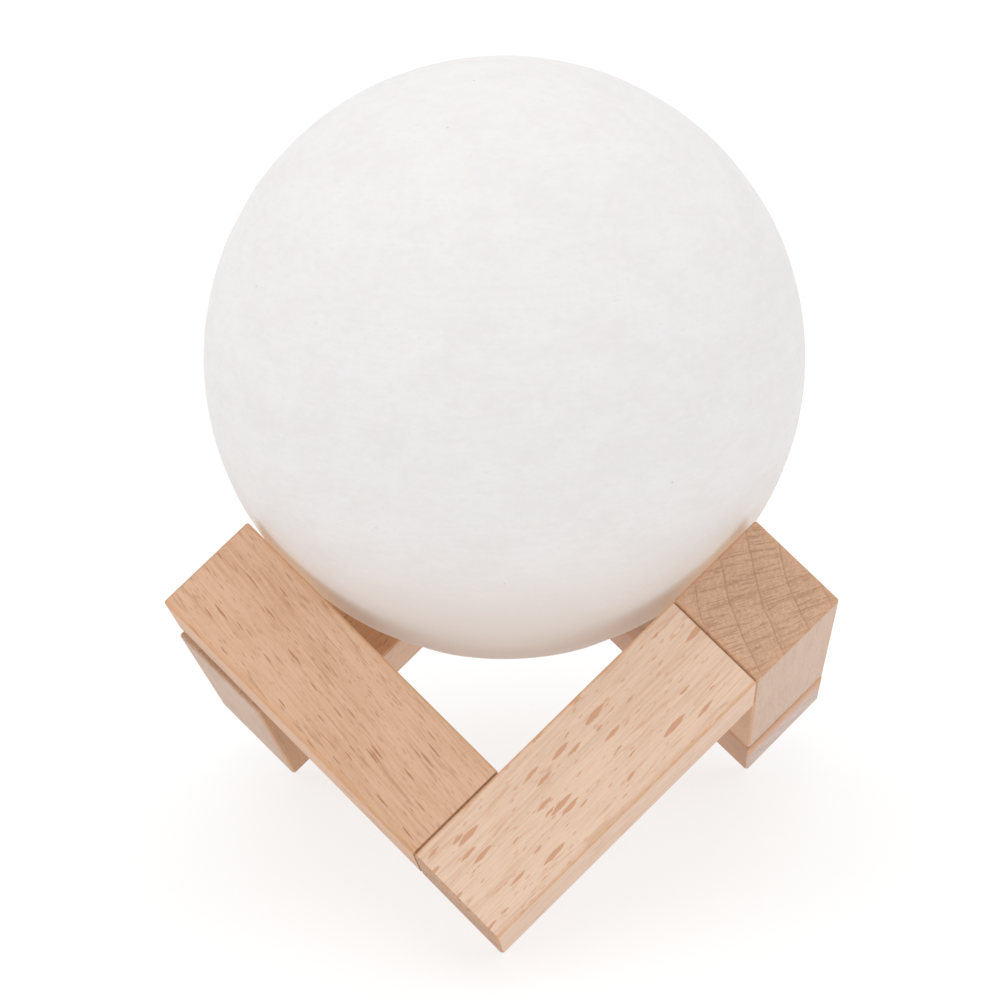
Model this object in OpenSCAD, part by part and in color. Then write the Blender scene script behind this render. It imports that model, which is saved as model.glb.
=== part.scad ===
// Moon lamp: a hollow printed moon on a stand of six wooden bars.
//
// The bars are all alike. Each one butts against the side of the next, and the six of them
// close into a ring that follows six edges of a cube. The ring stands on three corners of that
// cube, with the cube's diagonal upright, and the moon lies against the three flat faces at the
// high corners. Each joint of the ring is glued on a dowel. It was glued as two halves of three
// bars, and the halves closed a little out of line with each other.
// The moon's base holds the lights, the cell, the board, the button and the charging socket.
//
// The origin is on the table, straight below the middle of the ring. +X is to the right, +Y to
// the back and +Z up. Sizes are in millimetres and angles in degrees.

/* [Stand] */
// Width and thickness of a bar
bar_w = 15; // [13:0.5:18]
// Length of a bar, from its free end to its butted end
bar_len = 46.5; // [40:0.5:55]
// Eased edge all round a bar
arris = 0.25; // [0.1:0.05:0.6]
// Height sanded off the three foot corners
foot_flat = 0.45; // [0.4:0.05:1.5]
// How far the rear three bars sit turned against the front three
half_turn = 0.5; // [0:0.1:2]
// How far the rear three bars sit out of line where they are glued to the front three
half_shift = [0.5, -0.5]; // [-1:0.1:1]
// Diameter of the dowels
dowel_d = 5; // [4:0.5:6]
// Length of the dowels
dowel_len = 18; // [12:1:22]
// Gap round a dowel in its hole
dowel_gap = 0.05; // [0.03:0.01:0.1]
// Spare depth at each end of a dowel hole
dowel_spare = 0.5; // [0.3:0.1:1]

/* [Moon] */
// Diameter of the moon
moon_d = 80; // [66:1:96]
// Wall of the moon
moon_wall = 1.4; // [1:0.1:2]
// Gap between the moon and its three seats
seat_gap = 0.2; // [0.1:0.05:0.4]
// Width of the flat edge that the moon's cut leaves round its base
edge_w = 0.8; // [0.4:0.1:1.5]
// Height of the thickened collar round the moon's mouth
collar_h = 5; // [4.5:0.5:8]

/* [Base] */
// Width of the flange outside the moon's mouth
flange_w = 2.9; // [2.8:0.1:3.6]
// Width of the trim ring
ring_w = 3.5; // [3:0.1:4]
// Thickness of the trim ring
ring_t = 1.8; // [1.6:0.1:3]
// Thickness of the cover plate
plate_t = 1.6; // [1.2:0.1:2]
// Gap round pieces that are put together loosely
loose_gap = 0.3; // [0.2:0.05:0.4]

/* [Core] */
// Wall of the core holder
core_wall = 1.2; // [0.8:0.1:1.4]
// Thickness of the core holder's flange
flange_t = 1.6; // [1.4:0.1:2.5]
// Width, thickness and length of the cell
cell_size = [20, 6, 25]; // [4:0.5:30]
// Room between the cell's corners and the core holder's wall
cell_room = 0.66; // [0.5:0.02:1.5]
// Thickness of both circuit boards
board_t = 1; // [0.8:0.1:1.6]
// Height of the main board's underside above the flange's top
board_z = 3.3; // [3.2:0.1:4.5]
// Width and height of the ledge that the main board is screwed to
ledge = [1.9, 2]; // [1.5:0.1:2.5]
// Diameter of the light board
light_board_d = 19; // [17:0.5:22]
// Number of lights
light_count = 4; // [2:1:4]

/* [Button and socket] */
// Diameter of the button
button_d = 8; // [6:0.5:8.5]
// Travel of the button
button_travel = 0.5; // [0.3:0.1:0.6]
// How far the button stands proud of the trim ring
button_proud = 0.3; // [0.1:0.1:0.6]
// Running gap round the button and the switch plunger
slide_gap = 0.05; // [0.03:0.01:0.1]
// Width, thickness and depth of the charging socket's mouth
socket_mouth = [8.34, 2.56, 5]; // [2:0.01:9]
// Sheet thickness of the charging socket
socket_wall = 0.3; // [0.2:0.05:0.4]
// Space between the button's rim and the charging socket
socket_gap = 1.4; // [1:0.1:1.8]

/* [Hidden] */
$fn = 96;

// ---- The ring of bars: a frame centred in the cube, with its axes along the cube's edges ----

cube_side = bar_len + bar_w;
half = cube_side / 2;
bar_count = 6;
front_bars = 3;

// One place on round the ring: the sixth-turn of the cube about its diagonal that also turns
// it inside out. It takes each bar to the next one.
NEXT_PLACE = [[0, 0, 1, 0], [1, 0, 0, 0], [0, -1, 0, 0], [0, 0, 0, 1]];

function unit(v) = v / norm(v);
function in_rear_half(p) = [
    p.x * cos(half_turn) - p.y * sin(half_turn) + half_shift.x,
    p.x * sin(half_turn) + p.y * cos(half_turn) + half_shift.y,
    p.z
];

// The three corners that the ring stands on, one in the front half and two in the rear half
foot_front = [half, -half, half - bar_w];
foot_right = in_rear_half([half, half - bar_w, -half]);
foot_left = in_rear_half([bar_w - half, -half, -half]);
up_dir = unit(cross(foot_right - foot_front, foot_left - foot_front));
right_dir = unit(foot_right - foot_left);
back_dir = cross(up_dir, right_dir);

// How far along the diagonal the moon's centre lies: its surface meets the flat faces of the
// high corners, or their tips where the moon is wider than a bar is long
moon_r = moon_d / 2;
tip_span = half + bar_w;
tip_rest = 2 * pow(half, 2) + pow(half - bar_w, 2) - pow(moon_r, 2);
seat_on_faces = moon_r + bar_w - half;
seat_on_tips = (tip_span + sqrt(max(0, pow(tip_span, 2) - 3 * tip_rest))) / 3;
seat = (moon_r <= bar_len ? seat_on_faces : seat_on_tips) + seat_gap;
moon_in_ring = [-seat, seat, seat];
ring_z = -foot_front * up_dir - foot_flat;
moon_at = [
    right_dir * moon_in_ring,
    back_dir * moon_in_ring,
    up_dir * moon_in_ring + ring_z
];

// ---- The base: the button's rim, the light pipe and the socket, from its middle outwards ----

button_rim_h = 0.7;
button_rim_r = button_d / 2 + 1;
pipe_r = 1;
pipe_rim = [0.5, 0.8];
pipe_y = button_rim_r + pipe_rim[0] + pipe_r + 0.9;
socket_size = [socket_mouth.x + 2 * socket_wall, socket_mouth.y + 2 * socket_wall];
socket_y = -(button_rim_r + socket_gap + socket_size.y / 2);
socket_reach = norm([(socket_size.x - socket_size.y) / 2, socket_y]) + socket_size.y / 2;

// The tube is as wide as the cell and the socket need, and the mouth and the base go by it
core_in_r = max(norm([cell_size.x, cell_size.y]) / 2, socket_reach) + cell_room;
core_r = core_in_r + core_wall;
mouth_r = core_r + loose_gap;
base_r = mouth_r + flange_w;
ring_in_r = base_r - ring_w;
cover_r = ring_in_r - loose_gap / 2;

// The moon is cut flat, and its base is let into the cut until the trim ring is flush with it
recess_r = base_r + loose_gap;
recess_h = flange_t + ring_t;
cut_r = recess_r + edge_w;
cut_z = -sqrt(pow(moon_r, 2) - pow(cut_r, 2));
collar_r = recess_r + moon_wall;

// ---- The core: heights are measured from the recess's floor, which the flange lies against ----

plate_z = -flange_t;
face_z = plate_z - ring_t;
board_r = core_in_r - loose_gap;
board_top = board_z + board_t;
ledge_top = board_top + ledge[1];
cell_z = ledge_top + loose_gap;
cell_top = cell_z + cell_size.z;
roof_z = cell_top + 2 * loose_gap;
roof_t = core_wall;
light_board_z = roof_z + roof_t;

// Screws: shank and head radius, head height, and how far a boss runs into the tube's wall
screw_r = 0.8;
screw_head_r = 1.4;
screw_head_h = 0.9;
screw_gap = 0.05;
boss_r = 1.8;
boss_sink = 0.4;
flange_screw_r = (mouth_r + base_r) / 2;
flange_screw_count = 3;
flange_screw_head_r = 1.25;
flange_screw_len = flange_t + collar_h - 1;
cover_screw_x = core_in_r - boss_r + boss_sink;
cover_screw_len = 5;
board_screw_r = core_in_r - ledge[0] - 0.6;
board_screw_at = board_screw_r * [cos(40), -sin(40)];
board_screw_len = 4.2;
light_screw_at = [5.1, -5.1];
light_screw_len = 5;
light_r = 5;
light_size = [5, 5, 1.6];

// Switch and charge light
switch_size = [6, 6, 3.3];
plunger_r = 1.7;
plunger_hole = 1.5;
button_top = plate_z + button_rim_h;
charge_led_size = [1.6, 0.8, 0.6];

// Leads
lead_r = 0.45;
light_lead_y = 6.5;
light_lead_pitch = 1.5;
cell_lead_x = 6.4;
cell_lead_y = 0.8;

// ---- Shared shapes ----

module eased_rect(w, d, ease) {
    polygon([
        [ease, 0], [w - ease, 0], [w, ease], [w, d - ease],
        [w - ease, d], [ease, d], [0, d - ease], [0, ease]
    ]);
}

// A box with all twelve edges cut back at 45 degrees
module eased_box(size, ease) {
    intersection() {
        linear_extrude(size.z)
            eased_rect(size.x, size.y, ease);
        translate([0, size.y, 0])
            rotate([90, 0, 0])
                linear_extrude(size.y)
                    eased_rect(size.x, size.z, ease);
        rotate([90, 0, 90])
            linear_extrude(size.x)
                eased_rect(size.y, size.z, ease);
    }
}

// A flat slot with round ends, lying along X
module slot_shape(w, d) {
    straight = w - d;
    square([straight, d], center = true);
    for (side = [-1, 1])
        translate([side * straight / 2, 0])
            circle(d = d);
}

// A small screw with its head's underside at the origin and its shank upwards
module screw(len, head_r = screw_head_r, head_h = screw_head_h) {
    difference() {
        rotate_extrude()
            polygon([
                [0, -head_h], [head_r - 0.3, -head_h], [head_r, -head_h + 0.3], [head_r, 0],
                [screw_r, 0], [screw_r, len - 0.4], [screw_r - 0.4, len], [0, len]
            ]);
        for (turn = [0, 90])
            rotate(turn)
                translate([-head_r * 0.6, -0.15, -head_h - 0.1])
                    cube([head_r * 1.2, 0.3, 0.5]);
    }
}

module at_both(p) {
    for (side = [1, -1])
        translate([side * p.x, side * p.y, 0])
            children();
}

// ---- Stand ----

// The ring's own frame, stood on its three feet with its middle above the origin
module on_feet() {
    multmatrix([
        [right_dir.x, right_dir.y, right_dir.z, 0],
        [back_dir.x, back_dir.y, back_dir.z, 0],
        [up_dir.x, up_dir.y, up_dir.z, ring_z],
        [0, 0, 0, 1]
    ])
        children();
}

module at_place(i) {
    if (i == 0)
        children();
    else
        multmatrix(NEXT_PLACE)
            at_place(i - 1)
                children();
}

module in_half_of(i) {
    in_rear = i < front_bars ? 0 : 1;
    translate(in_rear * half_shift)
        rotate(in_rear * half_turn)
            children();
}

// The axis of the dowel where bar i butts against the next bar: +Z runs into the next bar
module on_dowel_axis(i) {
    in_half_of(i == front_bars - 1 ? i + 1 : i)
        at_place(i)
            translate([half - bar_w, bar_w / 2 - half, half - bar_w / 2])
                rotate([0, 90, 0])
                    children();
}

module dowel() {
    ease = dowel_d / 10;
    end_z = dowel_len / 2;
    rotate_extrude()
        polygon([
            [0, -end_z], [dowel_d / 2 - ease, -end_z], [dowel_d / 2, ease - end_z],
            [dowel_d / 2, end_z - ease], [dowel_d / 2 - ease, end_z], [0, end_z]
        ]);
}

module dowel_hole() {
    cylinder(d = dowel_d + 2 * dowel_gap, h = dowel_len + 2 * dowel_spare, center = true);
}

module under_table() {
    reach = 4 * cube_side;
    translate([-reach / 2, -reach / 2, -reach])
        cube(reach);
}

// Bar i: it is drilled for the bar that butts against it, and for its own butted end
module bar(i) {
    difference() {
        on_feet()
            difference() {
                in_half_of(i)
                    at_place(i)
                        translate([-half, -half, half - bar_w])
                            eased_box([bar_len, bar_w, bar_w], arris);
                for (joint = [(i + bar_count - 1) % bar_count, i])
                    on_dowel_axis(joint)
                        dowel_hole();
            }
        under_table();
    }
}

module front_left_bar() { color([0.86, 0.68, 0.52]) bar(0); }
module front_right_bar() { color([0.91, 0.76, 0.63]) bar(1); }
module right_bar() { color([0.83, 0.70, 0.58]) bar(2); }
module rear_right_bar() { color([0.87, 0.72, 0.58]) bar(3); }
module rear_left_bar() { color([0.84, 0.68, 0.53]) bar(4); }
module left_bar() { color([0.88, 0.76, 0.66]) bar(5); }

module dowels() {
    color([0.80, 0.64, 0.46])
        on_feet()
            for (joint = [0:bar_count - 1])
                on_dowel_axis(joint)
                    dowel();
}

// ---- Moon ----

// The recess's floor, in the middle of the mouth
module at_mouth() {
    translate([moon_at.x, moon_at.y, moon_at.z + cut_z + recess_h])
        children();
}

module at_flange_screws() {
    for (i = [0:flange_screw_count - 1])
        rotate(90 + i * 360 / flange_screw_count)
            translate([flange_screw_r, 0, 0])
                children();
}

module moon_shell() {
    color([0.93, 0.92, 0.91])
        difference() {
            union() {
                translate(moon_at)
                    difference() {
                        sphere(r = moon_r);
                        sphere(r = moon_r - moon_wall);
                    }
                intersection() {
                    translate(moon_at)
                        sphere(r = moon_r);
                    at_mouth()
                        translate([0, 0, -recess_h])
                            cylinder(r = collar_r, h = recess_h + collar_h);
                }
            }
            at_mouth() {
                translate([0, 0, -moon_r - recess_h])
                    cylinder(r = moon_r, h = moon_r);
                translate([0, 0, -recess_h - 1])
                    cylinder(r = recess_r, h = recess_h + 1);
                translate([0, 0, -1])
                    cylinder(r = mouth_r, h = collar_h + 2);
                at_flange_screws()
                    translate([0, 0, -1])
                        cylinder(r = screw_r + screw_gap, h = flange_screw_len - flange_t + 1.3);
            }
        }
}

// ---- Core: the tube that goes into the moon and carries everything electric ----

module cover_bosses() {
    for (side = [-1, 1])
        translate([side * cover_screw_x, 0, plate_z])
            children();
}

// The tube, its flange, the ledge that the main board is screwed to, and its closed top
module holder_tube() {
    rotate_extrude()
        polygon([
            [core_in_r, plate_z], [base_r, plate_z], [base_r, 0],
            [core_r, 0], [core_r, light_board_z], [0, light_board_z],
            [0, roof_z], [core_in_r, roof_z],
            [core_in_r, ledge_top], [core_in_r - ledge[0], ledge_top],
            [core_in_r - ledge[0], board_top], [core_in_r, board_top]
        ]);
}

module holder_bosses() {
    cover_bosses()
        cylinder(r = boss_r, h = board_top + ledge[1] / 2 - plate_z);
    translate([0, 0, board_top])
        at_both(board_screw_at)
            cylinder(r = boss_r, h = board_screw_len);
    translate([0, 0, light_board_z - light_screw_len])
        at_both(light_screw_at)
            cylinder(r = boss_r, h = light_screw_len - roof_t / 2);
}

module holder_holes() {
    at_flange_screws() {
        translate([0, 0, plate_z - 1])
            cylinder(r = screw_r + screw_gap, h = flange_t + 2);
        translate([0, 0, plate_z - 1])
            cylinder(r = flange_screw_head_r + screw_gap, h = screw_head_h + 1);
    }
    cover_bosses()
        translate([0, 0, -1])
            cylinder(r = screw_r + screw_gap, h = cover_screw_len);
    translate([0, 0, board_top - 1])
        at_both(board_screw_at)
            cylinder(r = screw_r + screw_gap, h = board_screw_len);
    translate([0, 0, light_board_z - light_screw_len + 0.6])
        at_both(light_screw_at)
            cylinder(r = screw_r + screw_gap, h = light_screw_len);
    translate([0, light_lead_y, roof_z - 1])
        linear_extrude(roof_t + 2)
            slot_shape(4 * light_lead_pitch, 4 * lead_r);
}

module core_holder() {
    color([0.93, 0.93, 0.91])
        at_mouth()
            difference() {
                union() {
                    holder_tube();
                    intersection() {
                        translate([0, 0, plate_z])
                            cylinder(r = core_in_r + core_wall / 2, h = roof_z + roof_t / 2 - plate_z);
                        union() {
                            holder_bosses();
                            cell_ribs();
                        }
                    }
                }
                holder_holes();
            }
}

// Four ribs that keep the cell upright in the middle of the tube
module cell_ribs() {
    rib_in = cell_size.x / 2 - 1.5;
    rib_y = cell_size.y / 2 + loose_gap;
    foot_z = board_top + ledge[1] / 2;
    for (turn = [0, 180], side = [rib_y, -rib_y - 1])
        rotate(turn)
            translate([rib_in, side, foot_z])
                cube([core_r - rib_in, 1, roof_z + roof_t / 2 - foot_z]);
}

module flange_screws() {
    color([0.70, 0.70, 0.72])
        at_mouth()
            at_flange_screws()
                translate([0, 0, plate_z + screw_head_h])
                    screw(flange_screw_len - screw_head_h, head_r = flange_screw_head_r);
}

// The bright metal ring round the base, with a rounded outer edge
module trim_ring() {
    round_r = ring_t * 0.6;
    round_x = base_r - round_r;
    color([0.80, 0.80, 0.82])
        at_mouth()
            translate([0, 0, face_z])
                rotate_extrude() {
                    polygon([
                        [ring_in_r + 0.3, 0], [round_x, 0], [round_x, ring_t],
                        [ring_in_r, ring_t], [ring_in_r, 0.3]
                    ]);
                    translate([round_x, round_r])
                        square([round_r, ring_t - round_r]);
                    intersection() {
                        translate([round_x, round_r])
                            circle(r = round_r);
                        translate([round_x, 0])
                            square([round_r, round_r]);
                    }
                }
}

module cover_plate() {
    color([0.91, 0.91, 0.90])
        at_mouth()
            difference() {
                translate([0, 0, plate_z - plate_t])
                    rotate_extrude()
                        polygon([
                            [0, 0], [cover_r - 0.3, 0], [cover_r, 0.3],
                            [cover_r, plate_t], [0, plate_t]
                        ]);
                translate([0, 0, plate_z - plate_t - 1]) {
                    cylinder(d = button_d + 2 * slide_gap, h = plate_t + 2);
                    translate([0, pipe_y, 0])
                        cylinder(r = pipe_r + slide_gap, h = plate_t + 2);
                    translate([0, socket_y, 0])
                        linear_extrude(plate_t + 2)
                            slot_shape(socket_size.x + loose_gap, socket_size.y + loose_gap);
                    for (side = [-1, 1])
                        translate([side * cover_screw_x, 0, 0]) {
                            cylinder(r = screw_r + screw_gap, h = plate_t + 2);
                            cylinder(r = screw_head_r + screw_gap, h = screw_head_h + 1);
                        }
                }
            }
}

module cover_screws() {
    color([0.70, 0.70, 0.72])
        at_mouth()
            cover_bosses()
                translate([0, 0, screw_head_h - plate_t])
                    screw(cover_screw_len - 1.5);
}

// ---- Electric parts ----

module main_board() {
    color([0.12, 0.36, 0.22])
        at_mouth()
            translate([0, 0, board_z])
                difference() {
                    cylinder(r = board_r, h = board_t);
                    for (side = [-1, 1])
                        translate([side * cover_screw_x, 0, -1])
                            cylinder(r = boss_r + loose_gap, h = board_t + 2);
                    translate([0, 0, -1])
                        at_both(board_screw_at)
                            cylinder(r = screw_r + 2 * screw_gap, h = board_t + 2);
                }
}

// A control chip and a coil on the upper side, and two small parts beside the switch
module board_parts() {
    chip = [4, 3, 1];
    coil = [3, 3, 1.5];
    small = [1.6, 0.8, 0.7];
    color([0.16, 0.16, 0.17])
        at_mouth() {
            translate([-3.5 - chip.x / 2, -5.8 - chip.y / 2, board_top])
                cube(chip);
            translate([4.4 - coil.x / 2, 5.4 - coil.y / 2, board_top])
                cube(coil);
            for (x = [-5.6, 4])
                translate([x, 3.2, board_z - small.z])
                    cube(small);
        }
}

module board_screws() {
    color([0.70, 0.70, 0.72])
        at_mouth()
            translate([0, 0, board_z])
                at_both(board_screw_at)
                    screw(board_screw_len);
}

module charging_socket() {
    mouth_z = plate_z - plate_t + 0.2;
    color([0.75, 0.75, 0.77])
        at_mouth()
            translate([0, socket_y, mouth_z])
                difference() {
                    linear_extrude(board_z - mouth_z)
                        slot_shape(socket_size.x, socket_size.y);
                    translate([0, 0, -1])
                        linear_extrude(socket_mouth.z + 1)
                            slot_shape(socket_mouth.x, socket_mouth.y);
                }
}

module socket_tongue() {
    tongue = [6.7, 0.7, 4.4];
    mouth_z = plate_z - plate_t + 0.2;
    color([0.10, 0.10, 0.11])
        at_mouth()
            translate([-tongue.x / 2, socket_y - tongue.y / 2, mouth_z + socket_mouth.z - tongue.z])
                cube(tongue);
}

module charge_led() {
    color([0.95, 0.90, 0.80])
        at_mouth()
            translate([
                -charge_led_size.x / 2,
                pipe_y - charge_led_size.y / 2,
                board_z - charge_led_size.z
            ])
                cube(charge_led_size);
}

// The clear rod that brings the charge light to the cover's face
module light_pipe() {
    top = board_z - charge_led_size.z - 0.1;
    color([0.90, 0.95, 1.00, 0.6])
        at_mouth()
            translate([0, pipe_y, 0]) {
                translate([0, 0, plate_z - plate_t])
                    cylinder(r = pipe_r, h = top - plate_z + plate_t);
                translate([0, 0, plate_z])
                    cylinder(r = pipe_r + pipe_rim[0], h = pipe_rim[1]);
            }
}

module switch_body() {
    color([0.13, 0.13, 0.14])
        at_mouth()
            difference() {
                translate([-switch_size.x / 2, -switch_size.y / 2, board_z - switch_size.z])
                    cube(switch_size);
                translate([0, 0, board_z - switch_size.z - 1])
                    cylinder(r = plunger_r + slide_gap, h = plunger_hole + 1);
            }
}

module switch_plunger() {
    bottom = button_top;
    top = board_z - switch_size.z + plunger_hole - button_travel - 0.1;
    color([0.20, 0.20, 0.22])
        at_mouth()
            translate([0, 0, bottom])
                cylinder(r = plunger_r, h = top - bottom);
}

// The button: a domed cap with a rim behind the cover that keeps it from falling out
module power_button() {
    r = button_d / 2;
    rim_z = ring_t + button_proud;
    color([0.88, 0.88, 0.89])
        at_mouth()
            translate([0, 0, face_z - button_proud])
                rotate_extrude()
                    polygon([
                        [0, 0], [r - 1, 0.1], [r - 0.3, 0.35], [r, 0.8],
                        [r, rim_z], [button_rim_r, rim_z],
                        [button_rim_r, rim_z + button_rim_h], [0, rim_z + button_rim_h]
                    ]);
}

module cell() {
    color([0.70, 0.74, 0.78])
        at_mouth()
            translate([-cell_size.x / 2, -cell_size.y / 2, cell_z])
                eased_box(cell_size, 0.8);
}

module foam_pad() {
    pad = [2 * (cell_lead_x - 2 * lead_r), cell_size.y - 1, cell_z - board_top];
    color([0.25, 0.25, 0.26])
        at_mouth()
            translate([-pad.x / 2, -pad.y / 2, board_top])
                cube(pad);
}

module cell_leads() {
    color([0.80, 0.12, 0.10])
        at_mouth()
            for (side = [-1, 1])
                translate([cell_lead_x, side * cell_lead_y, board_top])
                    cylinder(r = lead_r, h = cell_z - board_top);
}

module light_leads() {
    color([0.85, 0.65, 0.15])
        at_mouth()
            for (i = [-1:1])
                translate([i * light_lead_pitch, light_lead_y, board_top])
                    cylinder(r = lead_r, h = light_board_z - board_top);
}

module light_board() {
    color([0.95, 0.95, 0.94])
        at_mouth()
            translate([0, 0, light_board_z])
                difference() {
                    cylinder(d = light_board_d, h = board_t);
                    translate([0, 0, -1])
                        at_both(light_screw_at)
                            cylinder(r = screw_r + 2 * screw_gap, h = board_t + 2);
                }
}

module lights() {
    color([1.00, 0.93, 0.70])
        at_mouth()
            for (i = [0:light_count - 1])
                rotate(i * 360 / light_count)
                    translate([light_r, 0, light_board_z + board_t])
                        linear_extrude(light_size.z)
                            difference() {
                                square([light_size.x, light_size.y], center = true);
                                translate([light_size.x, light_size.y] / 2)
                                    rotate(45)
                                        square(1, center = true);
                            }
}

module light_screws() {
    color([0.70, 0.70, 0.72])
        at_mouth()
            translate([0, 0, light_board_z + board_t])
                at_both(light_screw_at)
                    mirror([0, 0, 1])
                        screw(light_screw_len);
}

// ---- What is drawn ----

front_left_bar();
front_right_bar();
right_bar();
rear_right_bar();
rear_left_bar();
left_bar();
dowels();
moon_shell();
core_holder();
flange_screws();
trim_ring();
cover_plate();
cover_screws();
main_board();
board_parts();
board_screws();
charging_socket();
socket_tongue();
charge_led();
light_pipe();
switch_body();
switch_plunger();
power_button();
cell();
foam_pad();
cell_leads();
light_leads();
light_board();
lights();
light_screws();
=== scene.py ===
import math

import bpy
import numpy as np
from mathutils import Matrix, Vector


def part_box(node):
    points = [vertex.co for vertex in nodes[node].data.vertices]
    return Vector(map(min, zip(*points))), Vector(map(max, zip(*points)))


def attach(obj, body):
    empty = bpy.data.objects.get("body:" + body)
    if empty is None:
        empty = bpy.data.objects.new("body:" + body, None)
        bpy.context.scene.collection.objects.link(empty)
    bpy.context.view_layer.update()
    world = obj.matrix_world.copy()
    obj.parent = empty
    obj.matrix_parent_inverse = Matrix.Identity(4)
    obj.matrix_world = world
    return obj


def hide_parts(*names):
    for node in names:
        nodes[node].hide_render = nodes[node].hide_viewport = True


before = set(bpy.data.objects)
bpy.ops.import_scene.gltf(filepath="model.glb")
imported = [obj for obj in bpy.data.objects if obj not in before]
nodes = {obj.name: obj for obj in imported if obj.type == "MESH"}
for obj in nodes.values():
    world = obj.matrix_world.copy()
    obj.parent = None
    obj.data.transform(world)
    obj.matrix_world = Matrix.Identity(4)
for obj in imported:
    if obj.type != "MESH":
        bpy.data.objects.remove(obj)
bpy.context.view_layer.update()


# ---- The view: a product shot from about 20 degrees above, with a long lens ----
# The camera's place, tilt and lens were found from the stand's straight edges and corners and
# from the moon's outline.
CAMERA_AT = (0.01940, -0.42524, 0.20230)
CAMERA_AHEAD = Vector((-0.04469, 0.93943, -0.33982))
CAMERA_RIGHT = Vector((0.99893, 0.03786, -0.02669))
CAMERA_LENS_MM = 120.63

camera = bpy.data.objects.new("camera", bpy.data.cameras.new("camera"))
bpy.context.scene.collection.objects.link(camera)
camera.data.sensor_width = 36.0
camera.data.sensor_fit = "HORIZONTAL"
camera.data.lens = CAMERA_LENS_MM
camera.data.clip_start, camera.data.clip_end = 0.01, 20.0
ahead = CAMERA_AHEAD.normalized()
right = (CAMERA_RIGHT - ahead * CAMERA_RIGHT.dot(ahead)).normalized()
camera.matrix_world = Matrix.Translation(CAMERA_AT) @ Matrix(
    (right, right.cross(ahead), -ahead)
).transposed().to_4x4()
bpy.context.scene.camera = camera
bpy.context.scene.view_settings.view_transform = "Standard"


# ---- Six beech bars ----
# Planed and fine-sanded square bars of steamed beech, cut square, eased along every edge and
# left with a thin coat of clear oil. Each is glued to the side of the next one.

class Field:
    """A value, vector or colour that varies over a surface: one socket of a finish's nodes.

    + - * / ** and abs() on values add Math nodes, so a pattern is written as a formula.
    """

    def __init__(self, finish, socket):
        self.finish, self.socket = finish, socket

    def _math(self, operation, *inputs):
        return self.finish.node("Math", {"operation": operation}, inputs)

    def __add__(self, other):
        return self._math("ADD", self, other)

    def __radd__(self, other):
        return self._math("ADD", other, self)

    def __sub__(self, other):
        return self._math("SUBTRACT", self, other)

    def __rsub__(self, other):
        return self._math("SUBTRACT", other, self)

    def __mul__(self, other):
        return self._math("MULTIPLY", self, other)

    def __rmul__(self, other):
        return self._math("MULTIPLY", other, self)

    def __truediv__(self, other):
        return self._math("DIVIDE", self, other)

    def __rtruediv__(self, other):
        return self._math("DIVIDE", other, self)

    def __pow__(self, other):
        return self._math("POWER", self, other)

    def __rpow__(self, other):
        return self._math("POWER", other, self)

    def __abs__(self):
        return self._math("ABSOLUTE", self)

    def sin(self):
        """The sine of an angle in radians."""
        return self._math("SINE", self)

    def root(self):
        """The square root."""
        return self._math("SQRT", self)

    def fraction(self):
        """What is left over the whole number below."""
        return self._math("FRACT", self)

    def angle(self, other):
        """The angle in radians whose tangent is this value over the other."""
        return self._math("ARCTAN2", self, other)

    def most(self, other):
        """The greater of two values."""
        return self._math("MAXIMUM", self, other)

    def step(self, low, high):
        """0 below low, 1 above high, and a smooth rise between them (or a fall, if high < low)."""
        return self.finish.node(
            "MapRange", {"interpolation_type": "SMOOTHSTEP"}, (self, low, high, 0.0, 1.0)
        )

    def part(self, name):
        """The X, Y or Z of a vector."""
        return self.finish.node("SeparateXYZ", {}, (self,), output=name)

    def dot(self, direction):
        """The dot product with a fixed direction of length 1: how far a vector reaches along it."""
        return self.finish.node(
            "VectorMath", {"operation": "DOT_PRODUCT"}, (self, tuple(direction)), output="Value"
        )

    def stretched(self, factors):
        """A vector with each of its three numbers multiplied by a factor."""
        return self.finish.node(
            "VectorMath", {"operation": "MULTIPLY"}, (self, tuple(factors)), output="Vector"
        )

    def moved(self, other):
        """A vector with another one, fixed or varying, added to it."""
        return self.finish.node(
            "VectorMath", {"operation": "ADD"}, (self, other), output="Vector"
        )

    def also(self, name):
        """Another output of the node that made this value."""
        return Field(self.finish, self.socket.node.outputs[name])

    def between(self, first, second):
        """The first colour where this value is 0, the second where it is 1."""
        return self.finish.node(
            "Mix", {"data_type": "RGBA"},
            {"Factor": self, 6: rgba(first), 7: rgba(second)}, output=2,
        )


def rgba(colour):
    """A colour as four numbers, unless it is already a Field."""
    return colour if isinstance(colour, Field) else (*colour, 1.0)


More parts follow.
